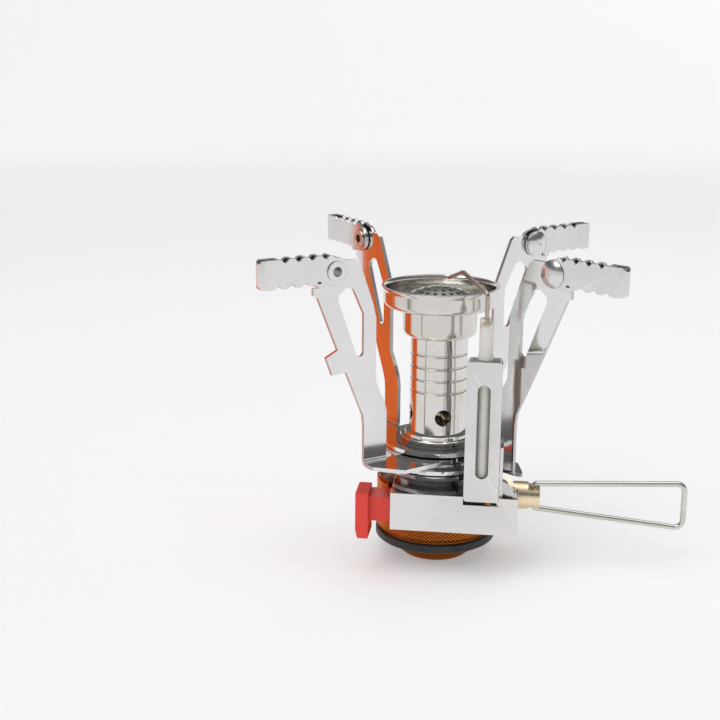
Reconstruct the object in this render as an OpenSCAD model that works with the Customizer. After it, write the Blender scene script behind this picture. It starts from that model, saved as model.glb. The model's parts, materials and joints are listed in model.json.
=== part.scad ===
// Folding canister stove: knurled valve body, piezo igniter box, mixing tube and cup burner,
// four folding pot arms with serrated tips, and a wire-handled valve spindle.
// Millimetres, +Z up, origin on the burner axis at the underside of the base collar.
// -Y is the front (igniter box), +X is the valve handle side.

/* [Valve body] */
// Radius of the knurled body
body_r = 15.5; // [15:0.5:19]
// Height of the body above the seat ring
body_h = 14.3; // [13.5:0.1:18]
// Radius of the base collar at its top
collar_r = 9.6; // [8.5:0.1:12]
// Height of the base collar
collar_h = 4.5; // [3:0.1:7]
// Bevel round the foot of the collar
collar_bevel = 0.9; // [0.4:0.1:1.5]
// Thickness of the rubber seat ring
ring_t = 2.5; // [1.5:0.1:4]
// How far the seat ring stands out past the body
ring_proud = 0.2; // [0:0.05:1.5]
// Width of the seat ring from its hole to its edge
ring_w = 3.6; // [2:0.1:5]
// Radius of the canister thread, 7/16 inch 28 UNEF
thread_r = 5.56; // [5:0.01:6.5]
// Depth of the canister thread
thread_h = 10.4; // [8.5:0.1:11]
// Distance from the burner axis to the flat milled for the igniter
pocket_y = 9.8; // [9:0.1:11]

/* [Valve spindle] */
// Height of the spindle axis above the top of the seat ring
spindle_rise = 9.1; // [8.6:0.1:10]
// Radius of the spindle stem
stem_r = 1.9; // [1.5:0.1:2.2]
// Radius of the brass spindle head
head_r = 3.7; // [3.2:0.1:4.2]
// Length of the brass spindle head
head_l = 7; // [6:0.1:10]
// Half thickness between the flats on the end of the head
flat_half = 2.35; // [2:0.05:2.8]
// Distance across the flats of the gland nut
gland_af = 7.6; // [7:0.1:8.5]
// Length of the gland nut outside the body
gland_out = 4.4; // [3.5:0.1:6]
// Travel of the spindle over its two turns
spindle_travel = 1; // [0.5:0.1:1.2]

/* [Valve handle] */
// Diameter of the handle wire
wire_d = 1.5; // [1.2:0.1:1.6]
// Length of the handle from its pivot to its far end
handle_l = 39.2; // [30:0.1:55]
// Rise of the upper leg along the handle
handle_rise = 2; // [0:0.1:4]
// Drop of the lower leg along the handle
handle_drop = 3.5; // [0:0.1:4]
// Bend radius of the handle corners
handle_bend = 2; // [1.5:0.1:2.5]

/* [Stack on the neck] */
// Radius of the neck on which the arms turn
neck_r = 7.5; // [7.2:0.1:8.5]
// Running clearance of the arms on the neck
turn_gap = 0.06; // [0.03:0.01:0.1]
// Face clearance between stacked plates
face_gap = 0.05; // [0.03:0.01:0.1]
// Radius of the arm rings
hub_r = 13.8; // [12.5:0.1:14.5]
// Thickness of the arm sheet
sheet_t = 1; // [0.8:0.05:1.2]
// Radius of the plain washers
washer_r = 11.4; // [10.5:0.1:12.5]
// Thickness of the lowest washer
base_washer_t = 1.3; // [0.8:0.1:2]
// Thickness of the thin washers
thin_washer_t = 0.4; // [0.3:0.05:0.6]
// Thickness of the spacer between the back and front arm pairs
spacer_t = 2.3; // [1.5:0.1:4]

/* [Pot arms] */
// Turn of the front left, front right, back right and back left arm about the neck
arm_turn = [219.5, 321.2, 42.2, 126.2];
// Set-in of each arm's foot towards the neck, front left, front right, back right, back left
foot_set = [0, 1.7, 1.7, 4.2];
// Distance of the arm sheet from the burner axis
arm_off = 3.4; // [2.5:0.1:4]
// Radius of the inner edge of an arm's foot strip
foot_r = 18.4; // [18:0.1:22]
// Width of the foot strip
foot_w = 6.6; // [5:0.1:8]
// Height of the rivet axis above the box top
pivot_h = 56.5; // [50:0.5:65]
// Radius of the rivet axis from the burner axis
pivot_r = 33.8; // [33:0.1:38]
// Reach of the front left hub lobe
front_lobe = 25.2; // [24.5:0.1:27]
// Reach of the other hub lobes, before they are set in
other_lobe = 26.2; // [25:0.1:28]

/* [Arm tips] */
// Length of a tip from the rivet axis to its outer end
tip_l = 20.2; // [18:0.1:24]
// Height of a tip
tip_h = 7; // [6:0.1:8]
// Thickness of each cheek of a tip
cheek_t = 0.9; // [0.7:0.05:1.1]
// Side clearance between a cheek and the arm
cheek_gap = 0.25; // [0.15:0.05:0.4]
// Spacing of the notches
notch_pitch = 3.6; // [3:0.1:4]
// Depth of the notches
notch_d = 0.9; // [0.5:0.1:1.2]
// Number of notches along an edge
notch_n = 4; // [2:1:5]

/* [Rivets] */
// Radius of the rivet shank
rivet_r = 1.8; // [1.4:0.05:2]
// Radius of the rivet dome
rivet_head_r = 3.4; // [2.8:0.1:3.8]
// Radius of the hollow in the rivet
rivet_hollow_r = 1.15; // [0.8:0.05:1.2]

/* [Burner] */
// Outer radius of the mixing tube
tube_r = 7.33; // [6.8:0.01:8]
// Wall of the mixing tube
tube_wall = 1; // [0.6:0.1:1.2]
// Length of the mixing tube below the bowl
tube_l = 27.2; // [25:0.1:34]
// Radius of the flange at the foot of the tube
flange_r = 9.7; // [9.2:0.1:11]
// Radius of the air holes
air_r = 2.15; // [1.5:0.05:2.3]
// Height of the air holes above the flange foot
air_h = 6.9; // [6.5:0.1:9]
// Turn of the first air hole about the tube
air_turn = 285.5; // [270:0.5:300]
// Spacing of the tube grooves
groove_pitch = 3.24; // [2.5:0.01:3.4]
// Number of tube grooves
groove_n = 4; // [2:1:4]
// Radius of the bowl under the cup
bowl_r = 9.4; // [9:0.1:11]
// Height of the bowl
bowl_h = 7.5; // [6:0.1:10]
// Radius of the cup wall
cup_r = 14.5; // [13.5:0.1:15.5]
// Height of the cup wall
cup_h = 5.4; // [4.5:0.1:7]
// Flare of the cup rim
rim_flare = 0.5; // [0.2:0.1:1]
// Wall of the bowl and cup
cup_wall = 0.7; // [0.5:0.05:0.9]
// Radius of the flame plate
flame_r = 9.2; // [8.8:0.1:10.5]
// Rise of the flame plate dome
flame_rise = 2.6; // [2:0.1:3.2]
// Radius of the holes in the flame plate
flame_hole_r = 0.55; // [0.4:0.05:0.65]

/* [Igniter] */
// Left end of the igniter box from the burner axis
box_left = 10; // [9:0.1:12]
// Right end of the igniter box from the burner axis
box_right = 21.7; // [20:0.1:22.5]
// Distance from the burner axis to the front of the igniter box
box_front = 20; // [19.5:0.1:23]
// Height of the igniter box front
box_h = 9.7; // [9.3:0.1:11]
// Sheet thickness of the igniter box
box_t = 0.8; // [0.6:0.05:1]
// Width of the electrode shield
shield_w = 8.6; // [8:0.1:9.5]
// Height of the electrode shield
shield_h = 34.6; // [30:0.1:38]
// Sheet thickness of the shield
shield_t = 0.5; // [0.4:0.05:0.7]
// Distance of the shield's centre from the burner axis
shield_x = 12.5; // [12:0.1:13.5]
// Width of the slot in the shield
slot_w = 3.15; // [2.5:0.05:3.6]
// Diameter of the ceramic insulator
ceramic_d = 3.4; // [3:0.1:3.8]
// Height of the insulator above the shield
ceramic_rise = 10.2; // [8:0.1:12]
// Diameter of the electrode wire
electrode_d = 1.1; // [0.8:0.1:1.3]
// Travel of the ignition button
button_travel = 4.2; // [3:0.1:4.6]
// Thickness of the button cap
cap_t = 3.2; // [2.5:0.1:4]
// Height of the button cap
cap_h = 12; // [10:0.1:13]
// Gap between the released cap and the igniter box
cap_gap = 5.5; // [5:0.1:6]

/* [Hidden] */

$fn = 64;
eps = 0.01;           // overlap that joins the pieces of one solid
seat_gap = 0.05;      // clearance of a fixed piece in its seat
run_gap = 0.05;       // clearance of a moving piece in its bore
pin_l = 2.3;          // length of the pin that opens the canister's valve
seal_room = 2.4;      // depth of the seal's chamber above the canister thread
plate_gap = 0.3;      // gap between two hub plates with no washer between them
chamber_r = stem_r + 0.35;

// Levels of the body
ring_top = collar_h + ring_t;
body_top = ring_top + body_h;
spindle_z = ring_top + spindle_rise;
box_top = body_top + box_t;

spigot_foot = spindle_z + chamber_r + 0.5;

// Levels of the stack on the neck, from the bottom: back right, front right, front left, back left
level_back_right = box_top + base_washer_t + 2 * face_gap;
level_front_right = level_back_right + sheet_t + thin_washer_t + 2 * face_gap;
level_front_left = level_front_right + sheet_t + spacer_t + 2 * face_gap;
level_back_left = level_front_left + sheet_t + plate_gap;
arm_level = [level_front_left, level_front_right, level_back_right, level_back_left];
tube_z = level_back_left + sheet_t + thin_washer_t + 2 * face_gap;

// Levels of the burner
bowl_z = tube_z + tube_l;
cup_z = bowl_z + bowl_h;
rim_z = cup_z + cup_h;
tube_bore_r = tube_r - tube_wall;
plate_z = rim_z - flame_rise - 0.3;
bowl_bore_r = tube_r - 0.38;

// Arm and tip places
pivot_z = box_top + pivot_h;
tip_lift = 0.6;       // the tip's middle stands above the rivet axis
cheek_in = sheet_t / 2 + cheek_gap;
cheek_out = cheek_in + cheek_t;
lobe_reach = [for (i = [0:3]) i == 0 ? front_lobe : other_lobe - foot_set[i]];
lobe_shoulder = [0.58, 0.4, 0.4, 0.4];  // tangential place of each lobe's shoulder, in hub radii
lobe_far = [1.02, 0.76, 0.76, 0.76];    // tangential place of each lobe's far corner, in hub radii

// Igniter places
box_bottom = box_top - box_h;
shield_front = box_front + 0.5;
shield_depth = 6.2;
shield_top = box_top + shield_h;
ceramic_y = -(shield_front - shield_t - ceramic_d / 2 - 0.7);
ceramic_foot = box_top + 5;
ceramic_top = shield_top + ceramic_rise;
case_left = box_left - 0.6;
case_right = 13.6;
case_front = box_front - box_t - 0.3;
case_back = pocket_y + 0.4;
case_bottom = box_bottom + 0.5;
case_top = body_top - 0.3;
case_wall = 0.8;
stem_y = (case_front + case_back) / 2;
stem_z = (case_top + case_bottom) / 2;
stem_h = case_top - case_bottom - 2 * case_wall - 2 * run_gap;
stem_w = case_front - case_back - 2 * case_wall - 2 * run_gap;

// Points of an arc of radius r about c from angle a0 to a1 in n steps
function arc(c, r, a0, a1, n = 8) =
    [for (i = [0:n]) let (a = a0 + (a1 - a0) * i / n) [c[0] + r * cos(a), c[1] + r * sin(a)]];

// A ring about Z
module ring(outer_r, inner_r, z, h) {
    translate([0, 0, z]) difference() {
        cylinder(r = outer_r, h = h);
        translate([0, 0, -1]) cylinder(r = inner_r, h = h + 2);
    }
}

// A cylinder along +X from x0 to x1 at height z
module x_rod(x0, x1, r, z, sides = $fn) {
    translate([x0, 0, z]) rotate([0, 90, 0]) cylinder(r = r, h = x1 - x0, $fn = sides);
}

function unit(v) = v / norm(v);

// Points of a route in the XZ plane whose inner corners are rounded to the given bend radii
function rounded(pts, bends, n = 6) = [for (i = [0:len(pts) - 1])
    if (i == 0 || i == len(pts) - 1) [pts[i][0], 0, pts[i][1]]
    else let (
        before = unit(pts[i - 1] - pts[i]), after = unit(pts[i + 1] - pts[i]),
        half = acos(before * after) / 2,
        centre = pts[i] + unit(before + after) * bends[i - 1] / sin(half),
        first = pts[i] + before * bends[i - 1] / tan(half) - centre,
        last = pts[i] + after * bends[i - 1] / tan(half) - centre)
        for (k = [0:n]) let (p = centre + bends[i - 1] * unit(first * (n - k) + last * k)) [p[0], 0, p[1]]];

// A round wire of radius r swept along 3D points, each ring square to the route
module swept_wire(pts, r, sides) {
    last = len(pts) - 1;
    function heading(i) = unit(unit(pts[min(i + 1, last)] - pts[min(i, last - 1)])
        + unit(pts[max(i, 1)] - pts[max(i - 1, 0)]));
    rings = [for (i = [0:last]) let (d = heading(i), a = unit(cross([0.01, 1, 0.02], d)), b = cross(d, a))
        for (k = [0:sides - 1]) pts[i] + r * (cos(360 * k / sides) * a + sin(360 * k / sides) * b)];
    walls = [for (i = [0:last - 1]) for (k = [0:sides - 1]) let (n = (k + 1) % sides)
        [i * sides + k, (i + 1) * sides + k, (i + 1) * sides + n, i * sides + n]];
    polyhedron(points = rings, convexity = 6, faces = concat(walls,
        [[for (k = [0:sides - 1]) k]], [[for (k = [sides - 1:-1:0]) last * sides + k]]));
}

// ---------------------------------------------------------------- valve body

module valve_body() {
    gland_bore_r = gland_af / 2 + 0.2;
    color("darkorange") difference() {
        rotate_extrude() polygon([[0, 0], [collar_r - collar_bevel, 0], [collar_r, collar_bevel],
            [collar_r, collar_h], [body_r + ring_proud - ring_w, collar_h],
            [body_r + ring_proud - ring_w, ring_top], [body_r - 0.3, ring_top], [body_r, ring_top + 0.3],
            [body_r, body_top - 0.5], [body_r - 0.5, body_top], [0, body_top]]);
        // milled pocket for the igniter
        translate([-body_r - 1, -body_r - 2, box_bottom - 0.3])
            cube([2 * body_r + 2, body_r + 2 - pocket_y, body_h + 2]);
        // canister thread, gas passages, spindle chamber, gland bore and neck bore
        translate([0, 0, -1]) cylinder(r = thread_r, h = thread_h - seal_room + 1);
        cylinder(r = thread_r - 0.5, h = thread_h);
        translate([thread_r - 1.4, 0, thread_h - 1]) cylinder(r = 0.8, h = spindle_z - thread_h + 1);
        x_rod(0, 3, 0.8, spindle_z);
        x_rod(2.5, 11, chamber_r, spindle_z);
        x_rod(10.2, body_r + 1, gland_bore_r, spindle_z);
        translate([0, 0, spindle_z]) cylinder(r = 0.8, h = body_top);
        translate([0, 0, spigot_foot - 0.1]) cylinder(r = 5 + seat_gap, h = 6);
    }
}

module seat_ring() {
    outer = body_r + ring_proud;
    inner = outer - ring_w + seat_gap;
    soft = 0.4;
    color("black") rotate_extrude() polygon([[inner, collar_h + eps], [outer - soft, collar_h + eps],
        [outer, collar_h + soft], [outer, ring_top - soft], [outer - soft, ring_top - eps],
        [inner, ring_top - eps]]);
}

module thread_seal() {
    color("black") translate([0, 0, thread_h - 1.6]) rotate_extrude()
        translate([3.1, 0.8]) circle(r = 0.75);
}

module pin_depressor() {
    color("goldenrod") {
        translate([0, 0, thread_h - 0.8]) cylinder(r = 2.2, h = 0.8 - eps);
        translate([0, 0, thread_h - pin_l]) cylinder(r = 0.9, h = pin_l - eps);
    }
}

module neck_spigot() {
    color("silver") difference() {
        union() {
            translate([0, 0, spigot_foot]) cylinder(r = 5, h = body_top - spigot_foot + 2 * eps);
            translate([0, 0, body_top + eps]) cylinder(r = neck_r, h = tube_z - body_top - 2 * eps);
            translate([0, 0, tube_z - 1]) cylinder(r = tube_bore_r - seat_gap, h = 4);
        }
        translate([0, 0, body_top - 5]) cylinder(r = 1, h = tube_z - body_top + 10);
        translate([0, 0, tube_z - 1.5]) cylinder(r = 2.5 + seat_gap, h = 6);
    }
}

module gas_jet() {
    jet_foot = tube_z - 1.4;
    color("goldenrod") difference() {
        union() {
            translate([0, 0, jet_foot]) cylinder(r = 2.5, h = 4.6);
            translate([0, 0, tube_z + 3.1]) cylinder(r = 3.2, h = 1.6, $fn = 6);
            translate([0, 0, tube_z + 4.6]) cylinder(r1 = 2, r2 = 1.2, h = 1.2);
        }
        translate([0, 0, jet_foot - 1]) cylinder(r = 0.9, h = 6);
        translate([0, 0, jet_foot]) cylinder(r = 0.2, h = 10, $fn = 24);
    }
}

// ------------------------------------------------------------- valve spindle

gland_end = body_r + gland_out;
head_x = gland_end + 0.3;
cross_x = head_x + head_l - 1.6;
seal_x = 12;

module gland_nut() {
    color("goldenrod") difference() {
        union() {
            x_rod(10.3, body_r + 0.5, gland_af / 2 + 0.1, spindle_z);
            x_rod(body_r + 0.4, gland_end, gland_af / 2 / cos(30), spindle_z, 6);
        }
        x_rod(10, gland_end + 1, stem_r + run_gap, spindle_z);
        x_rod(10, seal_x + 0.6 + spindle_travel + 0.2, 3.05, spindle_z);
    }
}

module spindle_seal() {
    color("black") translate([seal_x, 0, spindle_z]) rotate([0, 90, 0])
        rotate_extrude() translate([stem_r + 0.5 + 0.02, 0]) circle(r = 0.5, $fn = 32);
}

module valve_spindle() {
    color("goldenrod") {
        translate([2.8, 0, spindle_z]) rotate([0, 90, 0]) cylinder(r1 = 0.4, r2 = stem_r, h = 2);
        x_rod(4.8 - eps, head_x - eps, stem_r, spindle_z);
    }
}

module spindle_head() {
    flat_x = cross_x - 1.4;
    color("goldenrod") difference() {
        x_rod(head_x, head_x + head_l, head_r, spindle_z);
        for (foot = [flat_half, -flat_half - 4]) translate([flat_x, -head_r - 1, spindle_z + foot])
            cube([head_l, 2 * head_r + 2, 4]);
        translate([cross_x, 0, spindle_z - head_r - 1])
            cylinder(r = wire_d / 2 + run_gap, h = 2 * head_r + 2);
    }
}

module valve_handle() {
    leg_z = flat_half + 0.2 + wire_d / 2;
    pin_in = 0.6;
    end_x = handle_l - wire_d / 2;
    hook = wire_d * 0.6;
    pts = [[0, leg_z - hook - 0.2], [0, leg_z], [end_x, leg_z + handle_rise], [end_x, -leg_z - handle_drop],
           [0, -leg_z], [0, hook + 0.2 - leg_z]];
    color("silver") translate([cross_x, 0, spindle_z]) {
        swept_wire(rounded(pts, [hook, handle_bend, handle_bend, hook]), wire_d / 2, 12);
        for (side = [-1, 1]) translate([0, 0, side > 0 ? pin_in : hook - leg_z])
            cylinder(r = wire_d / 2 + 0.02, h = leg_z - hook - pin_in, $fn = 48);
    }
}

// ------------------------------------------------------------ neck stack

module base_washer() {
    color("dimgray") ring(washer_r, neck_r + seat_gap, box_top + face_gap, base_washer_t);
}

module thin_washers() {
    color("dimgray") {
        ring(washer_r, neck_r + seat_gap, level_back_right + sheet_t + face_gap, thin_washer_t);
        ring(washer_r - 0.6, neck_r + seat_gap, level_back_left + sheet_t + face_gap, thin_washer_t);
    }
}

module arm_spacer() {
    color("dimgray") {
        foot = level_front_right + sheet_t + face_gap;
        ring(washer_r + 0.6, neck_r + seat_gap, foot, spacer_t / 2 - face_gap);
        ring(washer_r, neck_r + seat_gap, foot + spacer_t / 2, spacer_t / 2);
    }
}

// ---------------------------------------------------------------- pot arms

// Upright outline of an arm in radius and height, with its foot at height z0 set in by s
module arm_outline(z0, s) {
    in_r = foot_r - s;
    out_r = foot_r + foot_w - s;
    waist_r = foot_r - s * 0.75;
    head_r_in = pivot_r - s * 0.4;
    knee_z = box_top + 19.8;
    step_z = pivot_z - 3.8;
    polygon([
        [in_r, z0], [in_r, knee_z], [in_r + 0.7, knee_z + 2.6], [in_r + 2, knee_z + 4.9],
        [waist_r + 3.3, knee_z + 8.4], [waist_r + 3.4, knee_z + 24], [waist_r + 4.3, knee_z + 27.6],
        [head_r_in - 7.2, pivot_z + 1.4], [head_r_in - 6.2, pivot_z + 2.3], [pivot_r, pivot_z + 2.3],
        [pivot_r + 2, pivot_z + 1.6], [pivot_r + 2.7, pivot_z - 1.2], [pivot_r + 3, step_z],
        [head_r_in + 5.6, step_z], [head_r_in + 5.6, step_z - 1.8], [head_r_in + 4.4, step_z - 2.4],
        [waist_r + foot_w + 5.3, knee_z + 11.4], [out_r + 1.2, knee_z + 1.8], [out_r + 0.3, knee_z - 0.4],
        [out_r, knee_z - 3], [out_r, z0]]);
}

// Long rounded triangle that lightens an arm
module arm_window(s) {
    in_r = foot_r + 6.9 - s * 0.75;
    low_z = box_top + 34.6;
    high_z = pivot_z - 6.4;
    hull() {
        translate([in_r + 1.1, low_z + 1.1]) circle(r = 1.1, $fn = 32);
        translate([in_r + 0.9, high_z - 5.2]) circle(r = 0.9, $fn = 32);
        translate([in_r + 4.4 + s * 0.25, high_z]) circle(r = 1.9, $fn = 32);
        translate([in_r + 5.6 + s * 0.25, high_z - 0.6]) circle(r = 1.7, $fn = 32);
    }
}

// Horizontal ring and lobe of arm i, in radius and tangential distance
module hub_outline(i) {
    s = foot_set[i];
    reach = lobe_reach[i];
    soft = 1.2;
    difference() {
        union() {
            circle(r = hub_r);
            offset(r = soft, $fn = 32) offset(delta = -soft)
                polygon([[0, arm_off], [foot_r - s, arm_off], [foot_r + foot_w - s, arm_off],
                    [reach, arm_off + 1], [reach, hub_r * lobe_shoulder[i]],
                    [reach - 5.6, hub_r * lobe_far[i]], [hub_r * 0.2, hub_r * 0.98], [0, hub_r * 0.5]]);
        }
        circle(r = neck_r + turn_gap);
    }
}

// One arm: hub plate, bend and upright sheet
module pot_arm(i) {
    z0 = arm_level[i];
    s = foot_set[i];
    bend = sheet_t + 0.8;
    color("silver") rotate([0, 0, arm_turn[i]]) {
        difference() {
            translate([0, 0, z0]) linear_extrude(sheet_t) hub_outline(i);
            translate([foot_r - s, arm_off - 5, z0 - 1])
                cube([foot_w + 1, 5 - sheet_t / 2 + bend, sheet_t + 2]);
        }
        // rounded bend from the plate into the upright
        translate([foot_r - s, arm_off - sheet_t / 2 + bend, z0 + bend]) rotate([90, 0, 90])
            linear_extrude(foot_w) difference() {
                polygon(concat(arc([0, 0], bend, 180, 270), [[eps, -bend], [eps, 0], [0, 0]]));
                circle(r = bend - sheet_t);
            }
        translate([0, arm_off + sheet_t / 2, 0]) rotate([90, 0, 0]) linear_extrude(sheet_t) difference() {
            arm_outline(z0 + bend - eps, s);
            arm_window(s);
            translate([pivot_r, pivot_z]) circle(r = rivet_r + 0.01, $fn = 48);
        }
        if (i == 0) side_tab();
    }
}

// Small hook on the outer edge of the front left arm
module side_tab() {
    tab_z = box_top + 31;
    inner = foot_r + foot_w + 3.6;
    translate([0, arm_off + sheet_t / 2, 0]) rotate([90, 0, 0]) linear_extrude(sheet_t)
        polygon([[inner, tab_z + 0.2], [inner + 5.6, tab_z - 0.1], [inner + 7.3, tab_z + 4.4],
                 [inner + 3.6, tab_z + 6.2], [inner + 0.9, tab_z + 5.4]]);
}

module pot_rivet(i) {
    dome_h = 1.2;
    dome_r = (rivet_head_r * rivet_head_r + dome_h * dome_h) / (2 * dome_h);
    span = cheek_out + 0.12;
    color("silver") rotate([0, 0, arm_turn[i]]) translate([pivot_r, arm_off, pivot_z]) rotate([-90, 0, 0])
        rotate_extrude() difference() {
            union() {
                translate([0, -span]) square([rivet_r, 2 * span]);
                translate([0, span - eps]) square([rivet_r + 0.7, 0.45]);
                intersection() {
                    translate([0, -span - dome_h + dome_r]) circle(r = dome_r, $fn = 96);
                    translate([0, -span - dome_h - 1]) square([rivet_head_r, dome_h + 1]);
                }
            }
            translate([0, -span + 0.6]) square([rivet_hollow_r, 3 * span]);
            translate([-2 * dome_r, -3 * dome_r]) square([2 * dome_r, 6 * dome_r]);
        }
}

// Side view of a tip about its rivet: waved edges, round inner end
module tip_side() {
    half = tip_h / 2;
    top_start = 4.7;
    low_start = 6.5;
    wave_w = notch_pitch * 0.36;
    function wave(c, edge, sign) = [for (k = [-4:4]) let (u = k / 4)
        [c + u * wave_w, tip_lift + edge * (half - notch_d * (1 + cos(180 * u)) / 2)]];
    top = [for (n = [notch_n - 1:-1:0]) let (w = wave(top_start - 1.9 + n * notch_pitch, 1))
        for (k = [8:-1:0]) w[k]];
    low = [for (n = [0:notch_n - 1]) let (w = wave(low_start - 1.9 + n * notch_pitch, -1)) for (p = w) p];
    corner = 1.4;
    union() {
        circle(r = half - 0.1);
        polygon(concat([[0, tip_lift - half + 0.5]], low,
            arc([tip_l - corner, tip_lift - half + corner], corner, -90, 0),
            arc([tip_l - corner, tip_lift + half - corner], corner, 0, 90), top, [[0, half - 0.1]]));
    }
}

// Plan view of a tip: two cheeks joined round the outer end
module tip_plan() {
    difference() {
        union() {
            translate([-tip_h, -cheek_out]) square([tip_l + tip_h - cheek_out, 2 * cheek_out]);
            translate([tip_l - cheek_out, 0]) circle(r = cheek_out);
        }
        translate([-tip_h - 1, -cheek_in]) square([tip_l + tip_h + 1 - cheek_out, 2 * cheek_in]);
        translate([tip_l - cheek_out, 0]) circle(r = cheek_in);
    }
}

module pot_tip(i) {
    stop_r = 3.1;
    color("silver") rotate([0, 0, arm_turn[i]]) translate([pivot_r, arm_off, pivot_z]) {
        difference() {
            intersection() {
                translate([0, 0, -tip_h]) linear_extrude(2 * tip_h) tip_plan();
                translate([0, cheek_out + 1, 0]) rotate([90, 0, 0])
                    linear_extrude(2 * cheek_out + 2) tip_side();
            }
            translate([0, cheek_out + 1, 0]) rotate([90, 0, 0])
                cylinder(r = rivet_r + run_gap, h = 2 * cheek_out + 2, $fn = 48);
        }
        // stop tab that rests on the arm's step
        translate([stop_r, -cheek_out, tip_lift - tip_h / 2 - 0.8]) cube([1.6, 2 * cheek_out, 1.2]);
    }
}

// ----------------------------------------------------------------- burner

module burner_tube() {
    step_r = (flange_r + tube_r) / 2;
    neck_out_r = bowl_bore_r - seat_gap;
    color("silver") difference() {
        rotate_extrude() polygon([[tube_bore_r, tube_z], [flange_r, tube_z], [flange_r, tube_z + 0.9],
            [flange_r - 0.2, tube_z + 1.1], [step_r, tube_z + 1.1], [step_r, tube_z + 1.8],
            [step_r - 0.2, tube_z + 2], [tube_r, tube_z + 2], [tube_r, bowl_z], [neck_out_r, bowl_z],
            [neck_out_r, bowl_z + 1.6], [tube_bore_r, bowl_z + 1.6]]);
        for (n = [1:groove_n]) translate([0, 0, bowl_z - 1.1 - n * groove_pitch])
            rotate_extrude() translate([tube_r + 0.05, 0]) circle(r = 0.35, $fn = 24);
        for (n = [0:3]) translate([0, 0, tube_z + air_h]) rotate([0, 90, air_turn + 90 * n])
            cylinder(r = air_r, h = tube_r + 2);
    }
}

module burner_cup() {
    soft = 1.6;
    color("silver") rotate_extrude() polygon(concat(
        [[bowl_bore_r, bowl_z + eps], [bowl_r - soft, bowl_z + eps]],
        arc([bowl_r - soft, bowl_z + soft + eps], soft, -90, 0),
        [[bowl_r, cup_z - 0.3], [bowl_r + 0.3, cup_z], [cup_r - soft, cup_z + 0.1]],
        arc([cup_r - soft, cup_z + soft + 0.1], soft, -90, 0),
        [[cup_r, rim_z - 1.2], [cup_r + rim_flare, rim_z - 0.4], [cup_r + rim_flare, rim_z],
         [cup_r + rim_flare - cup_wall, rim_z], [cup_r - cup_wall, rim_z - 1]],
        arc([cup_r - soft, cup_z + soft + 0.1], soft - cup_wall, 0, -90),
        [[bowl_r - cup_wall, cup_z + cup_wall + 0.1]],
        arc([bowl_r - soft, bowl_z + soft + eps], soft - cup_wall, 0, -90),
        [[bowl_bore_r, bowl_z + cup_wall + eps]]));
}

module flame_screen() {
    color("gray") difference() {
        ring(bowl_r - cup_wall - seat_gap, 0.4, bowl_z + bowl_h - 2.2, 0.4);
        for (n = [0:11]) rotate([0, 0, 30 * n]) translate([5, 0, bowl_z]) cylinder(r = 0.8, h = bowl_h);
    }
}

module flame_plate() {
    skin = 0.5;
    dome = (flame_r * flame_r + flame_rise * flame_rise) / (2 * flame_rise);
    lift = plate_z + flame_rise - dome;
    edge = asin(flame_r / dome);
    inner_edge = asin((flame_r - skin) / (dome - skin));
    foot_z = cup_z + cup_wall + 0.1 + seat_gap;
    color("silver") difference() {
        rotate_extrude() polygon(concat([[flame_r, foot_z]],
            arc([0, lift], dome, 90 - edge, 90, 12), arc([0, lift], dome - skin, 90, 90 - inner_edge, 12),
            [[flame_r - skin, foot_z]]));
        for (row = [1:4]) for (n = [0:6 * row - 1]) rotate([0, 0, n * 60 / row + row * 7])
            translate([row * 1.95, 0, foot_z]) cylinder(r = flame_hole_r, h = 10, $fn = 16);
        translate([0, 0, foot_z]) cylinder(r = flame_hole_r, h = 10, $fn = 16);
    }
}

// ---------------------------------------------------------------- igniter

module igniter_box() {
    wall_h = box_h - box_t;
    tab_h = 13;
    notch_h = 2.1;
    color("silver") difference() {
        union() {
            translate([0, 0, body_top + eps]) linear_extrude(box_t - eps) union() {
                circle(r = washer_r);
                polygon([[-box_left, -box_front], [box_right, -box_front], [box_right - 3.1, -6.5],
                         [10.5, 4.4], [-box_left, 5.4]]);
            }
            translate([-box_left, -box_front, box_bottom]) cube([box_left + box_right, box_t, wall_h + 0.2]);
            translate([box_right - box_t, -box_front, box_bottom]) cube([box_t, 9, wall_h + 0.2]);
            translate([shield_x + shield_w / 2 + seat_gap, -box_front + 1.2, box_top - 0.2])
                cube([box_t, shield_depth - 2.2, tab_h]);
        }
        translate([0, 0, body_top - 1]) cylinder(r = neck_r + seat_gap, h = 4);
        translate([shield_x - shield_w / 2 - seat_gap, -box_front - 1, box_top - notch_h])
            cube([shield_w + 2 * seat_gap, shield_depth + 1, notch_h + 2]);
        translate([-8, -7.4, box_top + 0.5]) sphere(r = 0.9);
        translate([box_right - 3, -6.9, spindle_z - 5]) cube([6, 10, 10 + body_h]);
    }
}

// Slotted channel round the insulator, folded over at its top
module electrode_shield() {
    foot = box_top - 1;
    inner_w = shield_w - 2 * shield_t;
    color("silver") difference() {
        translate([shield_x, -shield_front + shield_depth, foot]) rotate([90, 0, 0])
            linear_extrude(shield_depth) shield_face(foot);
        translate([shield_x - inner_w / 2, -shield_front + shield_t, foot - 1])
            cube([inner_w, shield_depth, shield_top - foot + 1 - shield_t]);
        translate([shield_x, -shield_front - 1, 0]) rotate([-90, 0, 0]) mirror([0, 1, 0])
            linear_extrude(shield_t + 2) shield_slot();
        translate([shield_x, ceramic_y, shield_top - 2]) cylinder(r = ceramic_d / 2 + seat_gap, h = 4);
        translate([shield_x - shield_w, ceramic_y + ceramic_d / 2 + 0.6, shield_top - 4])
            cube([2 * shield_w, shield_depth, 6]);
    }
}

// Front view of the shield, standing on height zero, with soft corners
module shield_face(foot) {
    corner = 0.8;
    half = shield_w / 2;
    height = shield_top - foot;
    low = [arc([corner - half, corner], corner, 180, 270, 4),
           arc([half - corner, corner], corner, 270, 360, 4)];
    high = [arc([half - corner, height - corner], corner, 0, 90, 4),
            arc([corner - half, height - corner], corner, 90, 180, 4)];
    polygon(concat(low[0], low[1], high[0], high[1]));
}

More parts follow.
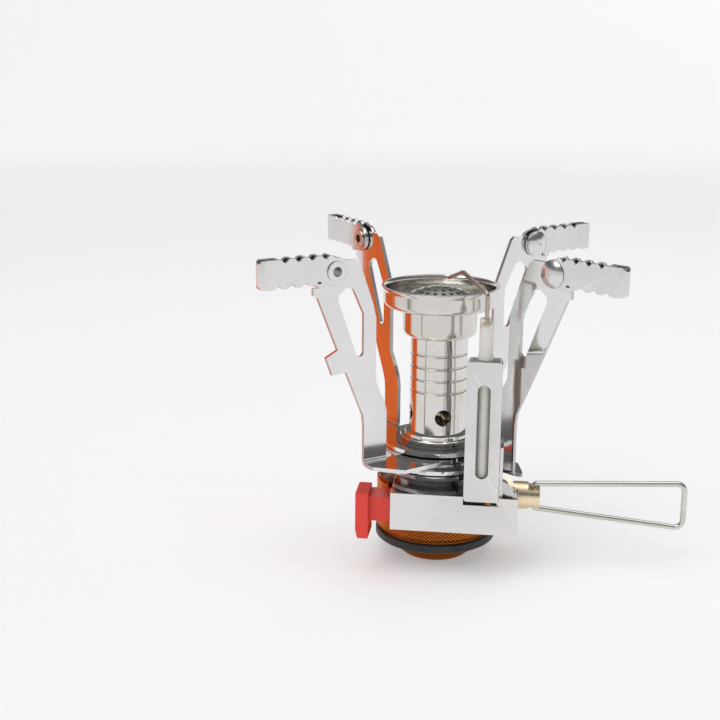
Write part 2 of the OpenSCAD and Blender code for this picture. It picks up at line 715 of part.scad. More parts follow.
// Front view of the long slot
module shield_slot() {
    low = box_top + 5 + slot_w / 2;
    high = shield_top - 5.7 - slot_w / 2;
    translate([0, low]) circle(r = slot_w / 2);
    translate([0, high]) circle(r = slot_w / 2);
    translate([-slot_w / 2, low]) square([slot_w, high - low]);
}

module ceramic_insulator() {
    hollow_r = electrode_d / 2 + seat_gap;
    color("white") translate([shield_x, ceramic_y, 0]) difference() {
        union() {
            translate([0, 0, ceramic_foot]) cylinder(r = ceramic_d / 2, h = ceramic_top - ceramic_foot);
            translate([0, 0, shield_top + 0.2]) cylinder(r = ceramic_d / 2 + 0.2, h = 0.8);
        }
        translate([0, 0, ceramic_foot - 1]) cylinder(r = hollow_r, h = ceramic_top - ceramic_foot + 2);
        translate([0.9, -3, ceramic_top - 1.1]) cube([3, 6, 3]);
    }
}

module electrode() {
    aim = atan2(-ceramic_y, -shield_x);
    pts = [[0, ceramic_foot + 1], [0, rim_z + 1.6], [11.2, rim_z + 5], [17.4, rim_z + 2.6]];
    color("gray") translate([shield_x, ceramic_y, 0]) rotate([0, 0, aim])
        swept_wire(rounded(pts, [1.2, 1.2]), electrode_d / 2, 12);
}

// Route of the igniter's lead, from the piezo terminal to the foot of the electrode
lead_r = 0.7;
lead_pts = [[14, -15, 17], [15, -15, 17], [15.7, -15.2, 17.5], [15.9, -15.6, 18.4], [15.5, -16, 19.4],
            [14.7, -16.5, 20.5], [13.9, -16.9, 21.7], [13.2, -17.2, 23], [12.7, -17.5, 24.3],
            [12.5, -17.6, 25.6], [12.5, -17.6, 27.05]];

module ignition_lead() {
    color("dimgray") swept_wire(lead_pts, lead_r, 8);
}

module piezo_case() {
    length = case_left + case_right;
    depth = case_front - case_back;
    height = case_top - case_bottom;
    color("dimgray") difference() {
        translate([-case_left, -case_front, case_bottom]) cube([length, depth, height]);
        translate([-case_left - 1, -case_front + case_wall, case_bottom + case_wall])
            cube([length + 1 - case_wall, depth - 2 * case_wall, height - 2 * case_wall]);
        x_cut = case_right - 2;
        translate([x_cut, -15, 17]) rotate([0, 90, 0]) cylinder(r = lead_r + 0.1, h = 3);
    }
}

module piezo_crystal() {
    color("white") translate([8, -stem_y, stem_z]) rotate([0, 90, 0]) cylinder(r = 2.2, h = 4.4);
}

// Strike block inside the stem, hollow at its nose for the spring
module piezo_hammer() {
    tail = button_nose + eps;
    color("gray") difference() {
        translate([tail, -stem_y, stem_z]) rotate([0, 90, 0]) cylinder(r = 2.4, h = 5);
        translate([tail + 0.8, -stem_y, stem_z]) rotate([0, 90, 0]) cylinder(r = 1.9, h = 6);
    }
}

// Spring in the hammer's nose, drawn at its pressed length against the crystal
module piezo_spring() {
    coils = 6;
    coil_r = 1.4;
    wire_r = 0.2;
    first = button_nose + 0.8 + button_travel + wire_r + 0.15;
    pitch = (8 - wire_r - 0.02 - first) / (coils - 1);
    color("gray") for (n = [0:coils - 1]) translate([first + n * pitch, -stem_y, stem_z])
        rotate([0, 90, 0]) rotate_extrude() translate([coil_r, 0]) circle(r = wire_r, $fn = 24);
}

button_nose = -case_left + 3.4;

module ignition_button() {
    cap_right = -box_left - cap_gap;
    cap_w = 8.4;
    cap_slant = 2.2;
    foot = box_top - 0.4 - cap_h;
    color("red") {
        translate([cap_right - cap_t, cap_w - box_front - 0.4, foot]) rotate([90, 0, 0])
            linear_extrude(cap_w) polygon([[0, cap_slant], [cap_slant / 4, 0], [cap_t, 0],
                [cap_t, cap_h], [0, cap_h]]);
        translate([cap_right - eps, -stem_y - stem_w / 2, stem_z - stem_h / 2])
            cube([button_nose - cap_right, stem_w, stem_h]);
    }
}

valve_body();
seat_ring();
thread_seal();
pin_depressor();
neck_spigot();
gas_jet();
gland_nut();
spindle_seal();
valve_spindle();
spindle_head();
valve_handle();
base_washer();
thin_washers();
arm_spacer();
igniter_box();
electrode_shield();
ceramic_insulator();
electrode();
ignition_lead();
piezo_case();
piezo_crystal();
piezo_hammer();
piezo_spring();
ignition_button();
burner_tube();
burner_cup();
flame_screen();
flame_plate();
pot_arm(0);  // front_left_arm
pot_arm(1);  // front_right_arm
pot_arm(2);  // back_right_arm
pot_arm(3);  // back_left_arm
pot_rivet(0);  // front_left_rivet
pot_rivet(1);  // front_right_rivet
pot_rivet(2);  // back_right_rivet
pot_rivet(3);  // back_left_rivet
pot_tip(0);  // front_left_tip
pot_tip(1);  // front_right_tip
pot_tip(2);  // back_right_tip
pot_tip(3);  // back_left_tip
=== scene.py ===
import json
import math

import bmesh
import bpy
from mathutils import Matrix, Vector


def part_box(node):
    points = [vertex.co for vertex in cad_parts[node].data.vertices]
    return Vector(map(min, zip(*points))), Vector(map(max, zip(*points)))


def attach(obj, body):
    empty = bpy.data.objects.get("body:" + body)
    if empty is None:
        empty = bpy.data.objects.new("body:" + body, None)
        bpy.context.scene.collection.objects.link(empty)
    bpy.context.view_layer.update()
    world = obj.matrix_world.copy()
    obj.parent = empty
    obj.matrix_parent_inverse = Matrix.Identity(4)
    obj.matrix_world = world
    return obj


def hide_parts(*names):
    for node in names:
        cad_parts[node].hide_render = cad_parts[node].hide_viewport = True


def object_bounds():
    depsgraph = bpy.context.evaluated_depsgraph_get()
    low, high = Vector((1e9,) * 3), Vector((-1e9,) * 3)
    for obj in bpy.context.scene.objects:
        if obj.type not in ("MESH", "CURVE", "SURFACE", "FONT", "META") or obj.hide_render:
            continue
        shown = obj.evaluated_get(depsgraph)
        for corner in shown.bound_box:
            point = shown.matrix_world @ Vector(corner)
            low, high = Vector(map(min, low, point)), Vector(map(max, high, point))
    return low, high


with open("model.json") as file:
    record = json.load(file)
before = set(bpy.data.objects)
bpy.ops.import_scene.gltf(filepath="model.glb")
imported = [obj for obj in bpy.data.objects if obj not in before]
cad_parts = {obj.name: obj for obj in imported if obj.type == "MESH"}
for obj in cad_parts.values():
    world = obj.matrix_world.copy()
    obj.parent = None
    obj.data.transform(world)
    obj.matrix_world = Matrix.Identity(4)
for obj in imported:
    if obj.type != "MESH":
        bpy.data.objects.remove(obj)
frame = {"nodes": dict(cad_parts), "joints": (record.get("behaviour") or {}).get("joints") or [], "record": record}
NODES = frame["nodes"]
SLOT = {s["node"]: s["material_slot"] for s in frame["record"]["subparts"]}
BODY = {n: b for b, ns in frame["record"]["behaviour"]["bodies"].items() for n in ns}
CAD_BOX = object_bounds()
MM = 0.001
KNURL_DEPTH = 0.44 * MM
FLAT_FACE = 5 * MM ** 2         # a sheet's flat faces are larger than this
WELD = 0.002                    # in millimetres
FLOOR_DROP = 0.00002            # keeps the floor just clear of the stove's foot


# ---------------------------------------------------------------- camera

def make_camera():
    eye = Vector((21.64, -320.34, 134.35)) * MM
    yaw, pitch, roll = math.radians(97.49), math.radians(14.51), math.radians(0.5)
    ahead = Vector((math.cos(yaw) * math.cos(pitch), math.sin(yaw) * math.cos(pitch), -math.sin(pitch)))
    right = ahead.cross(Vector((0, 0, 1))).normalized()
    up = right.cross(ahead)
    side = right * math.cos(roll) + up * math.sin(roll)
    top = up * math.cos(roll) - right * math.sin(roll)
    data = bpy.data.cameras.new("camera")
    data.sensor_width = 36
    data.lens = 64.35
    data.clip_start = 0.01
    cam = bpy.data.objects.new("camera", data)
    bpy.context.scene.collection.objects.link(cam)
    cam.matrix_world = Matrix((
        (side.x, top.x, -ahead.x, eye.x),
        (side.y, top.y, -ahead.y, eye.y),
        (side.z, top.z, -ahead.z, eye.z),
        (0, 0, 0, 1)))
    bpy.context.scene.camera = cam


# ---------------------------------------------------------------- materials

class Paint:
    """A procedural material under construction: nodes are added with short calls."""

    def __init__(self, name):
        self.mat = bpy.data.materials.new(name)
        self.mat.use_nodes = True
        self.tree = self.mat.node_tree
        self.shader = self.tree.nodes["Principled BSDF"]
        self.place = self.add("ShaderNodeTexCoord").outputs["Object"]

    def add(self, kind, **values):
        node = self.tree.nodes.new(kind)
        for key, value in values.items():
            setattr(node, key, value)
        return node

    def link(self, out, socket):
        self.tree.links.new(out, socket)

    def stretch(self, scale):
        node = self.add("ShaderNodeMapping")
        node.inputs["Scale"].default_value = scale
        self.link(self.place, node.inputs["Vector"])
        return node.outputs["Vector"]

    def noise(self, scale, detail=4.0, rough=0.55, vector=None, distortion=0.0):
        node = self.add("ShaderNodeTexNoise")
        node.inputs["Scale"].default_value = scale
        node.inputs["Detail"].default_value = detail
        node.inputs["Roughness"].default_value = rough
        node.inputs["Distortion"].default_value = distortion
        self.link(vector or self.place, node.inputs["Vector"])
        return node.outputs["Fac"]

    def cells(self, scale, feature="F1", vector=None):
        node = self.add("ShaderNodeTexVoronoi", feature=feature)
        node.inputs["Scale"].default_value = scale
        self.link(vector or self.place, node.inputs["Vector"])
        return node.outputs["Distance"]

    def span(self, out, low, high, to_low, to_high):
        node = self.add("ShaderNodeMapRange")
        node.inputs["From Min"].default_value = low
        node.inputs["From Max"].default_value = high
        node.inputs["To Min"].default_value = to_low
        node.inputs["To Max"].default_value = to_high
        self.link(out, node.inputs["Value"])
        return node.outputs["Result"]

    def math(self, kind, a, b):
        node = self.add("ShaderNodeMath", operation=kind)
        for socket, value in zip(node.inputs, (a, b)):
            if isinstance(value, (int, float)):
                socket.default_value = value
            else:
                self.link(value, socket)
        return node.outputs[0]

    def mix(self, amount, first, second):
        node = self.add("ShaderNodeMix", data_type="RGBA")
        sockets = {s.identifier: s for s in node.inputs}
        for key, value in (("Factor_Float", amount), ("A_Color", first), ("B_Color", second)):
            if isinstance(value, (int, float)):
                sockets[key].default_value = value
            elif isinstance(value, tuple):
                sockets[key].default_value = (*value, 1)
            else:
                self.link(value, sockets[key])
        return next(s for s in node.outputs if s.identifier == "Result_Color")

    def edges(self, low=0.5, high=0.6):
        return self.span(self.add("ShaderNodeNewGeometry").outputs["Pointiness"], low, high, 0, 1)

    def bump(self, height, strength, distance, normal=None):
        node = self.add("ShaderNodeBump")
        node.inputs["Strength"].default_value = strength
        node.inputs["Distance"].default_value = distance
        self.link(height, node.inputs["Height"])
        if normal is not None:
            self.link(normal, node.inputs["Normal"])
        return node.outputs["Normal"]

    def set(self, **values):
        for key, value in values.items():
            socket = self.shader.inputs[key.replace("_", " ")]
            if isinstance(value, bpy.types.NodeSocket):
                self.link(value, socket)
            elif isinstance(value, tuple):
                socket.default_value = (*value, 1)
            else:
                socket.default_value = value
        return self


def polished_steel(name, colour, dull, wave=0.35, smudge=0.1, grain=(1, 1, 1)):
    """Bright sheet steel: soft waviness, smudges, hairline scratches and brighter worn edges."""
    p = Paint(name)
    cloud = p.noise(55, 5, 0.6)
    hair = p.noise(900, 3, 0.6, p.stretch(grain))
    spots = p.cells(420)
    shade = tuple(c * 0.86 for c in colour)
    tone = p.mix(p.span(cloud, 0.35, 0.7, 0, 1), colour, shade)
    tone = p.mix(p.math("MULTIPLY", p.edges(), 0.35), tone, (0.93, 0.93, 0.92))
    rough = p.math("ADD", p.span(cloud, 0.35, 0.75, dull, dull + smudge), p.span(hair, 0.45, 0.8, 0, 0.05))
    low = p.bump(p.noise(70, 1, 0.4), wave, 0.0006)
    fine = p.bump(hair, 0.03, 0.0001, low)
    pits = p.bump(spots, 0.02, 0.0001, fine)
    return p.set(Base_Color=tone, Metallic=1.0, Roughness=rough, Normal=pits).mat


def turned_steel(name, colour, dull):
    """Lathe-turned steel: faint rings round the burner's axis, with slight streaks and heat tone."""
    p = Paint(name)
    rings = p.noise(1, 4, 0.65, p.stretch((60, 60, 5200)))
    cloud = p.noise(130, 4, 0.55)
    warm = (colour[0] * 0.92, colour[1] * 0.86, colour[2] * 0.76)
    tone = p.mix(p.span(cloud, 0.4, 0.75, 0, 0.8), colour, warm)
    rough = p.math("ADD", p.span(rings, 0.3, 0.8, dull, dull + 0.07), p.span(cloud, 0.4, 0.8, 0, 0.05))
    normal = p.bump(rings, 0.06, 0.0001, p.bump(p.noise(90, 1, 0.4), 0.2, 0.0004))
    return p.set(Base_Color=tone, Metallic=1.0, Roughness=rough, Normal=normal).mat


def knurled_anodised(name, colour, outer):
    """Orange anodised knurling: painted highlights on the peaks over grooves darkened with painted shade."""
    p = Paint(name)
    parts = p.add("ShaderNodeSeparateXYZ")
    p.link(p.place, parts.inputs["Vector"])
    x, y = parts.outputs["X"], parts.outputs["Y"]
    reach = p.math("SQRT", p.math("ADD", p.math("MULTIPLY", x, x), p.math("MULTIPLY", y, y)), 0)
    height = p.span(reach, outer - KNURL_DEPTH, outer - 0.12 * KNURL_DEPTH, 0, 1)
    cloud = p.noise(200, 4, 0.6)
    tone = p.mix(p.span(cloud, 0.4, 0.7, 0, 1), colour, tuple(c * 0.82 for c in colour))
    # painted shade: the grooves are darkened to a third of the orange, most at the bottom
    tone = p.mix(p.math("POWER", height, 1.6), tuple(c * 0.3 for c in colour), tone)
    # painted highlight: the tops of the peaks are lightened to a pale orange
    tone = p.mix(p.span(height, 0.75, 1, 0, 0.45), tone, (1.0, 0.50, 0.16))
    rough = p.math("ADD", p.span(cloud, 0.3, 0.8, 0.16, 0.26), p.math("MULTIPLY", height, -0.04))
    return p.set(Base_Color=tone, Metallic=0.9, Roughness=rough, Normal=p.bump(cloud, 0.04, 0.0001)).mat


def heated_steel(name, colour, tint, dull):
    """Burner steel with the straw and blue-grey bloom left by a flame."""
    p = Paint(name)
    bloom = p.noise(160, 4, 0.6, distortion=0.6)
    tone = p.mix(p.span(bloom, 0.42, 0.68, 0, 1), colour, tint)
    rough = p.span(p.noise(520, 4, 0.6), 0.3, 0.8, dull, dull + 0.18)
    return p.set(Base_Color=tone, Metallic=1.0, Roughness=rough, Normal=p.bump(bloom, 0.05, 0.0001)).mat


def drawn_wire(name):
    p = Paint(name)
    streak = p.noise(500, 4, 0.6, p.stretch((0.06, 1, 1)))
    tone = p.mix(p.span(streak, 0.35, 0.75, 0, 1), (0.72, 0.71, 0.66), (0.56, 0.55, 0.50))
    rough = p.span(streak, 0.3, 0.8, 0.16, 0.3)
    return p.set(Base_Color=tone, Metallic=1.0, Roughness=rough, Normal=p.bump(streak, 0.06, 0.00008)).mat


def anodised(name):
    """Orange anodised aluminium, a little worn and paler where a tool or a hand rubs it."""
    p = Paint(name)
    cloud = p.noise(120, 4, 0.6)
    tone = p.mix(p.span(cloud, 0.35, 0.7, 0, 1), (0.86, 0.22, 0.012), (0.74, 0.155, 0.008))
    worn = p.math("MULTIPLY", p.edges(0.5, 0.6), p.span(cloud, 0.3, 0.7, 0.5, 0.9))
    tone = p.mix(worn, tone, (1.0, 0.62, 0.28))
    rough = p.span(p.noise(400, 3, 0.5), 0.3, 0.8, 0.2, 0.3)
    return p.set(Base_Color=tone, Metallic=0.9, Roughness=rough, Normal=p.bump(cloud, 0.05, 0.0001)).mat


def machined_brass(name):
    p = Paint(name)
    rings = p.noise(1, 4, 0.65, p.stretch((4200, 60, 60)))
    cloud = p.noise(200, 4, 0.6)
    tone = p.mix(p.span(cloud, 0.4, 0.7, 0, 1), (0.88, 0.74, 0.50), (0.80, 0.64, 0.40))
    tone = p.mix(p.math("MULTIPLY", p.edges(), 0.4), tone, (0.95, 0.86, 0.66))
    rough = p.span(rings, 0.3, 0.8, 0.2, 0.34)
    return p.set(Base_Color=tone, Metallic=1.0, Roughness=rough, Normal=p.bump(rings, 0.08, 0.0001)).mat


def soft_rubber(name):
    p = Paint(name)
    grain = p.noise(2600, 4, 0.7)
    dust = p.noise(180, 4, 0.6)
    tone = p.mix(p.span(dust, 0.45, 0.75, 0, 1), (0.012, 0.013, 0.014), (0.035, 0.034, 0.033))
    rough = p.span(dust, 0.3, 0.8, 0.42, 0.62)
    return p.set(Base_Color=tone, Roughness=rough, Normal=p.bump(grain, 0.25, 0.00006)).mat


def moulded(name, colour, dark, gloss, grain=0.08):
    """Injection-moulded plastic: faint flow marks, fine grain and slightly paler edges."""
    p = Paint(name)
    flow = p.noise(150, 3, 0.5, distortion=0.8)
    tone = p.mix(p.span(flow, 0.35, 0.7, 0, 1), colour, dark)
    pale = tuple(min(1, c * 1.25 + 0.03) for c in colour)
    tone = p.mix(p.math("MULTIPLY", p.edges(), 0.5), tone, pale)
    rough = p.span(p.noise(600, 4, 0.6), 0.3, 0.8, gloss, gloss + 0.12)
    normal = p.bump(p.noise(1500, 3, 0.6), grain, 0.00005)
    p.set(Base_Color=tone, Roughness=rough, Normal=normal, Specular_IOR_Level=0.5)
    return p.set(Subsurface_Weight=0.08, Subsurface_Scale=0.001).mat


def glazed_ceramic(name, top):
    """White glazed porcelain, faintly cream, with a scorched tan mark near its mouth."""
    p = Paint(name)
    cloud = p.noise(140, 4, 0.55)
    tone = p.mix(p.span(cloud, 0.4, 0.75, 0, 1), (0.83, 0.82, 0.78), (0.76, 0.74, 0.67))
    height = p.add("ShaderNodeSeparateXYZ")
    p.link(p.place, height.inputs["Vector"])
    near = p.span(height.outputs["Z"], top - 0.0032, top - 0.0004, 0, 1)
    mark = p.math("MULTIPLY", near, p.span(p.noise(420, 3, 0.6), 0.5, 0.62, 0, 0.85))
    tone = p.mix(mark, tone, (0.33, 0.22, 0.10))
    rough = p.span(p.noise(500, 3, 0.5), 0.3, 0.8, 0.14, 0.26)
    p.set(Base_Color=tone, Roughness=rough, Normal=p.bump(cloud, 0.05, 0.0001))
    return p.set(Coat_Weight=0.5, Coat_Roughness=0.08, Subsurface_Weight=0.1, Subsurface_Scale=0.001).mat


# ---------------------------------------------------------------- pieces

def finish_piece(obj, node, *more):
    """Puts a piece in the scene in the place of its CAD nodes, with its body."""
    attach(obj, BODY[node])
    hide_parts(node, *more)
    obj.data.materials.clear()
    obj.data.materials.append(LOOK[node])
    return obj


def to_object(bm, name, smooth_angle):
    """Writes a bmesh in millimetres to a new object with smooth faces and sharp corners."""
    bmesh.ops.transform(bm, matrix=Matrix.Scale(MM, 4), verts=bm.verts)
    mesh = bpy.data.meshes.new(name)
    bm.to_mesh(mesh)
    bm.free()
    mesh.shade_smooth()
    mesh.set_sharp_from_angle(angle=math.radians(smooth_angle))
    obj = bpy.data.objects.new(name, mesh)
    bpy.context.scene.collection.objects.link(obj)
    return obj


def weigh_normals(obj, sheet):
    """Keeps large flat faces flat beside their rounded edges, and applies it to the mesh."""
    weigh = obj.modifiers.new("normals", "WEIGHTED_NORMAL")
    weigh.keep_sharp = True
    weigh.weight = 100
    shaped = bpy.data.meshes.new_from_object(obj.evaluated_get(bpy.context.evaluated_depsgraph_get()))
    obj.modifiers.clear()
    obj.data = shaped
    if sheet:
        normals = [c.vector.copy() for c in shaped.corner_normals]
        for face in shaped.polygons:
            if len(face.vertices) > 4 and face.area > FLAT_FACE:
                for i in face.loop_indices:
                    normals[i] = face.normal.copy()
        shaped.normals_split_custom_set(normals)


def mesh_of(node):
    """A CAD node's mesh in millimetres, welded, with its flat faces made whole."""
    bm = bmesh.new()
    bm.from_mesh(NODES[node].data)
    bmesh.ops.transform(bm, matrix=Matrix.Scale(1 / MM, 4), verts=bm.verts)
    bmesh.ops.remove_doubles(bm, verts=bm.verts, dist=WELD)
    bmesh.ops.dissolve_limit(bm, angle_limit=math.radians(0.3), verts=bm.verts, edges=bm.edges)
    bmesh.ops.recalc_face_normals(bm, faces=bm.faces)
    return bm


def dull_cut_edges(obj, across):
    """Gives a sheet's sheared edges, the faces not square to any of the directions, a rougher metal."""
    obj.data.materials.append(LOOK["cut_edge"])
    for face in obj.data.polygons:
        if all(abs(face.normal.dot(d)) < 0.5 for d in across):
            face.material_index = 1


def rounded_copy(node, name, width, segments=2, corner=32, sheet=False):
    """A CAD node's shape with its sharp edges rounded off, as pressed and tumbled metal has."""
    bm = mesh_of(node)
    sharp = [e for e in bm.edges if len(e.link_faces) == 2 and e.calc_face_angle() > math.radians(corner)]
    bmesh.ops.bevel(bm, geom=sharp, offset=width, segments=segments, profile=0.5, affect="EDGES",
                    offset_type="OFFSET", clamp_overlap=True, miter_outer="ARC")
    obj = to_object(bm, name, 50)
    weigh_normals(obj, sheet)
    return finish_piece(obj, node)


def smooth_wire(node, name):
    """A swept wire, welded and smooth-shaded so that it reads as round."""
    bm = mesh_of(node)
    return finish_piece(to_object(bm, name, 48), node)


def set_look(node):
    obj = NODES[node]
    for place in obj.material_slots:
        place.material = LOOK[node]


# ---------------------------------------------------------------- stage

def make_floor():
    """A pale round floor that curves up to a low wall far behind the object."""
    bm = bmesh.new()
    turns = 96
    profile = [(0.0, 0.0), (0.15, 0.0), (0.4, 0.0), (0.8, 0.0), (1.2, 0.0)]
    curve = [i * math.pi / 24 for i in range(1, 13)]
    profile += [(1.2 + 0.3 * math.sin(a), 0.3 - 0.3 * math.cos(a)) for a in curve]
    profile.append((1.5, 0.36))
    rings = []
    for r, z in profile[1:]:
        rings.append([bm.verts.new((r * math.cos(t), r * math.sin(t), z))
                      for t in [2 * math.pi * k / turns for k in range(turns)]])
    centre = bm.verts.new((0, 0, 0))
    for k in range(turns):
        n = (k + 1) % turns
        bm.faces.new((centre, rings[0][k], rings[0][n]))
        for low, high in zip(rings, rings[1:]):
            bm.faces.new((low[k], high[k], high[n], low[n]))
    mesh = bpy.data.meshes.new("floor")
    bm.to_mesh(mesh)
    bm.free()
    mesh.shade_smooth()
    floor = bpy.data.objects.new("floor", mesh)
    bpy.context.scene.collection.objects.link(floor)
    floor.location.z = CAD_BOX[0].z - FLOOR_DROP
    p = Paint("floor_paper")
    tone = p.mix(p.span(p.noise(3, 2, 0.5), 0.35, 0.7, 0, 1), (0.86, 0.86, 0.865), (0.88, 0.87, 0.872))
    p.set(Base_Color=tone, Roughness=0.7, Specular_IOR_Level=0.2, Emission_Color=tone, Emission_Strength=0.37,
          Normal=p.bump(p.noise(900, 3, 0.6), 0.03, 0.0001))
    mesh.materials.append(p.mat)


def make_card(name, low, high, colour, glow):
    """A plain block beside the object that only shows in reflections."""
    bm = bmesh.new()
    bmesh.ops.create_cube(bm, size=1)
    size, middle = (high - low), (high + low) / 2
    for v in bm.verts:
        v.co = Vector((v.co.x * size.x, v.co.y * size.y, v.co.z * size.z)) + middle
    bmesh.ops.bevel(bm, geom=bm.edges[:], offset=min(size) * 0.12, segments=4, profile=0.5, affect="EDGES")
    mesh = bpy.data.meshes.new(name)
    bm.to_mesh(mesh)
    bm.free()
    mesh.shade_smooth()
    card = bpy.data.objects.new(name, mesh)
    bpy.context.scene.collection.objects.link(card)
    p = Paint(name)
    shade = p.mix(p.span(p.noise(25, 2, 0.5), 0.3, 0.7, 0, 1), colour, tuple(c * 0.8 for c in colour))
    p.set(Base_Color=shade, Roughness=0.5, Emission_Color=shade, Emission_Strength=glow)
    mesh.materials.append(p.mat)
    card.visible_camera = False
    card.visible_diffuse = False
    card.visible_shadow = False


def make_light(name, place, aim, size, power):
    """A square soft light."""
    data = bpy.data.lights.new(name, "AREA")
    data.shape = "RECTANGLE"
    data.size = size
    data.size_y = size
    data.energy = power
    light = bpy.data.objects.new(name, data)
    bpy.context.scene.collection.objects.link(light)
    light.location = place
    light.rotation_euler = (Vector(aim) - Vector(place)).to_track_quat("-Z", "Y").to_euler()


def make_sun(name, towards, width, strength):
    """A distant soft light, as wide as a large softbox."""
    data = bpy.data.lights.new(name, "SUN")
    data.angle = math.radians(width)
    data.energy = strength
    sun = bpy.data.objects.new(name, data)
    bpy.context.scene.collection.objects.link(sun)
    sun.rotation_euler = (-Vector(towards)).to_track_quat("-Z", "Y").to_euler()


def make_world():
    world = bpy.data.worlds.new("studio")
    world.use_nodes = True
    tree = world.node_tree
    background = tree.nodes["Background"]
    place = tree.nodes.new("ShaderNodeTexCoord")
    split = tree.nodes.new("ShaderNodeSeparateXYZ")
    ramp = tree.nodes.new("ShaderNodeValToRGB")
    tree.links.new(place.outputs["Generated"], split.inputs["Vector"])
    tree.links.new(split.outputs["Z"], ramp.inputs["Fac"])
    tree.links.new(ramp.outputs["Color"], background.inputs["Color"])
    stops = ramp.color_ramp.elements
    stops[0].position, stops[0].color = 0.0, (0.80, 0.81, 0.82, 1)
    stops[1].position, stops[1].color = 1.0, (0.50, 0.51, 0.53, 1)
    for where, grey in ((0.18, 0.70), (0.28, 0.16), (0.5, 0.13), (0.7, 0.40)):
        stop = stops.new(where)
        stop.color = (grey, grey, grey * 1.02, 1)
    background.inputs["Strength"].default_value = 0.86
    bpy.context.scene.world = world


# ---------------------------------------------------------------- knurled body

def knurled_body():
    """The valve body with a true diamond knurl cut round it."""
    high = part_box("valve_body")[1]
    outer = high.x / MM
    top, foot = high.z / MM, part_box("seat_ring")[1].z / MM
    depth, inner = KNURL_DEPTH / MM, outer - 0.85
    valley = outer - depth
    around, rows = 92, 36
    start, end = foot + 0.35, top - 0.55

    bm = bmesh.new()
    half = (end - start) / rows

    def point(i, j, r):
        turn = math.pi * i / around
        return bm.verts.new((r * math.cos(turn), r * math.sin(turn), start + half * j))

    low_points = {(i % (2 * around), j): point(i, j, valley)
                  for j in range(rows + 1) for i in range(2 * around) if (i + j) % 2}

    def at(i, j):
        return low_points[(i % (2 * around), j)]

    flat = 0.30
    for j in range(1, rows):
        for i in range(2 * around):
            if (i + j) % 2:
                continue
            corners = [at(i + 1, j), at(i, j + 1), at(i - 1, j), at(i, j - 1)]
            tops = [point(i + flat, j, outer), point(i, j + flat, outer),
                    point(i - flat, j, outer), point(i, j - flat, outer)]
            bm.faces.new(tops)
            for k in range(4):
                n = (k + 1) % 4
                bm.faces.new((corners[k], corners[n], tops[n], tops[k]))
    for i in range(1, 2 * around, 2):
        bm.faces.new((at(i, 0), at(i + 2, 0), at(i + 1, 1)))
        bm.faces.new((at(i, rows), at(i + 1, rows - 1), at(i + 2, rows)))
    edge = {}
    for key, r, z in (("a", inner, start - 0.3), ("b", outer - 0.4, start - 0.3),
                      ("c", outer - 0.5, end + 0.5), ("d", inner, end + 0.5)):
        edge[key] = [bm.verts.new((r * math.cos(math.pi * i / around), r * math.sin(math.pi * i / around), z))
                     for i in range(1, 2 * around, 2)]
    loops = [[at(i, 0) for i in range(1, 2 * around, 2)], edge["b"], edge["a"], edge["d"], edge["c"],
             [at(i, rows) for i in range(1, 2 * around, 2)]]
    for first, second in zip(loops, loops[1:]):
        for k in range(around):
            n = (k + 1) % around
            bm.faces.new((first[k], second[k], second[n], first[n]))
    bmesh.ops.recalc_face_normals(bm, faces=bm.faces)
    sleeve = to_object(bm, "knurl", 20)

    # the igniter's flat and the bore of the spindle go through the sleeve too
    pocket = -9.8
    floor_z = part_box("igniter_box")[0].z / MM - 0.3
    cutter = bmesh.new()
    made = bmesh.ops.create_cube(cutter, size=1)
    for v in made["verts"]:
        v.co = Vector((v.co.x * 60, pocket - 10 + v.co.y * 20, floor_z + 10 + v.co.z * 20))
    gland_low, gland_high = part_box("gland_nut")
    radius = (gland_high.y - gland_low.y) / 2 / MM * 0.93
    bmesh.ops.create_cone(cutter, cap_ends=True, segments=48, radius1=radius, radius2=radius, depth=8,
                          matrix=Matrix.Translation((outer, 0, (gland_low.z + gland_high.z) / 2 / MM))
                          @ Matrix.Rotation(math.pi / 2, 4, "Y"))
    tool = to_object(cutter, "cutter", 30)
    cut = sleeve.modifiers.new("cut", "BOOLEAN")
    cut.operation = "DIFFERENCE"
    cut.solver = "EXACT"
    cut.object = tool
    sleeve_mesh = bpy.data.meshes.new_from_object(
        sleeve.evaluated_get(bpy.context.evaluated_depsgraph_get()))
    bpy.data.objects.remove(tool)
    bpy.data.objects.remove(sleeve)

    bm = mesh_of("valve_body")
    wall = valley - 0.06
    for v in bm.verts:
        reach = math.hypot(v.co.x, v.co.y)
        if reach > wall and v.co.z > foot - 0.01:
            if abs(v.co.y - pocket) < 0.01:
                v.co.x = math.copysign(math.sqrt(wall ** 2 - pocket ** 2), v.co.x)
            else:
                v.co.x *= wall / reach
                v.co.y *= wall / reach
    core = to_object(bm, "core", 30)
    bm = bmesh.new()
    bm.from_mesh(core.data)
    bm.from_mesh(sleeve_mesh)
    bmesh.ops.transform(bm, matrix=Matrix.Scale(1 / MM, 4), verts=bm.verts)
    bpy.data.objects.remove(core)
    return finish_piece(to_object(bm, "knurled_valve_body", 20), "valve_body")


# ---------------------------------------------------------------- the stove

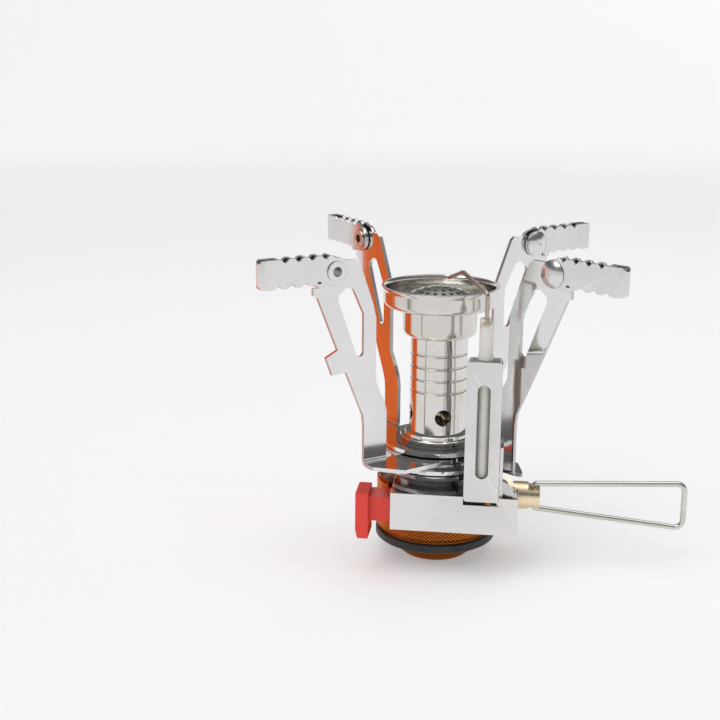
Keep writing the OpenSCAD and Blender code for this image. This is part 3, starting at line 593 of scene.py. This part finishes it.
def choose_looks():
    steel = polished_steel("polished_sheet", (0.71, 0.70, 0.69), 0.07, grain=(1, 1, 0.15))
    plate = polished_steel("bright_box_sheet", (0.70, 0.68, 0.675), 0.05, wave=0.25, grain=(0.1, 1, 1))
    tip = polished_steel("stamped_tip_sheet", (0.73, 0.725, 0.71), 0.1, wave=0.3)
    rivet = polished_steel("rivet_steel", (0.74, 0.73, 0.72), 0.2, wave=0.15, smudge=0.08)
    ring = polished_steel("washer_steel", (0.15, 0.15, 0.15), 0.16, wave=0.3)
    turned = turned_steel("turned_tube", (0.72, 0.71, 0.69), 0.07)
    cup = turned_steel("turned_cup", (0.70, 0.685, 0.66), 0.09)
    flame = heated_steel("flame_plate_steel", (0.80, 0.79, 0.76), (0.68, 0.64, 0.58), 0.16)
    gauze = heated_steel("gauze_steel", (0.05, 0.046, 0.042), (0.03, 0.03, 0.032), 0.5)
    LOOK["cut_edge"] = polished_steel("sheared_edge", (0.42, 0.40, 0.39), 0.34, wave=0.1, smudge=0.12)
    point = heated_steel("electrode_steel", (0.52, 0.47, 0.41), (0.40, 0.33, 0.27), 0.24)
    looks = {"orange_anodised": anodised("orange_anodised"), "rubber": soft_rubber("seal_rubber"),
             "brass": machined_brass("machined_brass"), "steel": steel, "burner_steel": turned,
             "dark_steel": ring, "wire": drawn_wire("handle_wire"),
             "ceramic": glazed_ceramic("glazed_ceramic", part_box("ceramic_insulator")[1].z),
             "black_plastic": moulded("black_moulding", (0.018, 0.018, 0.02), (0.03, 0.03, 0.032), 0.4),
             "red_plastic": moulded("red_moulding", (0.80, 0.035, 0.016), (0.70, 0.026, 0.012), 0.2)}
    special = {"igniter_box": plate, "electrode_shield": plate, "burner_cup": cup, "flame_plate": flame,
               "flame_screen": gauze, "electrode": point,
               "valve_body": knurled_anodised("knurled_anodised", (0.88, 0.23, 0.012),
                                              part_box("valve_body")[1].x)}
    for node in NODES:
        LOOK[node] = special.get(node) or looks[SLOT[node]]
        if node.endswith("_tip"):
            LOOK[node] = tip
        if node.endswith("_rivet"):
            LOOK[node] = rivet


make_camera()
LOOK = {}
choose_looks()
for node in NODES:
    set_look(node)
make_floor()
make_card("orange_card", Vector((-0.104, 0.003, 0.0)), Vector((-0.043, 0.036, 0.088)),
          (0.80, 0.13, 0.004), 0.4)
make_world()
make_sun("key", (-0.5, -0.55, 1.0), 40, 0.75)
make_light("overhead", (0.1, 0.05, 0.7), (0, 0, 0.03), 0.6, 1.2)

knurled_body()
for arm in ("front_left", "front_right", "back_right", "back_left"):
    face = next(Vector(j["axis"]) for j in frame["joints"] if j["name"] == arm + "_fold")
    upright = Vector((0, 0, 1))
    arm_sheet = rounded_copy(arm + "_arm", arm + "_arm_sheet", 0.12, sheet=True)
    dull_cut_edges(arm_sheet, (face, upright))
    tip_sheet = rounded_copy(arm + "_tip", arm + "_tip_sheet", 0.1, sheet=True)
    dull_cut_edges(tip_sheet, (face, face.cross(upright)))
    rounded_copy(arm + "_rivet", arm + "_rivet_head", 0.1)
rounded_copy("igniter_box", "igniter_box_sheet", 0.16, sheet=True)
rounded_copy("electrode_shield", "electrode_shield_sheet", 0.1, sheet=True)
rounded_copy("ignition_button", "ignition_button_moulding", 0.25, segments=3)
rounded_copy("spindle_head", "spindle_head_turned", 0.1)
rounded_copy("gland_nut", "gland_nut_machined", 0.1)
rounded_copy("burner_tube", "burner_tube_turned", 0.08)
rounded_copy("burner_cup", "burner_cup_turned", 0.1)
smooth_wire("valve_handle", "valve_handle_wire")
smooth_wire("electrode", "electrode_wire")
smooth_wire("ignition_lead", "ignition_lead_cable")

scene = bpy.context.scene
scene.view_settings.view_transform = "Standard"
scene.view_settings.look = "None"
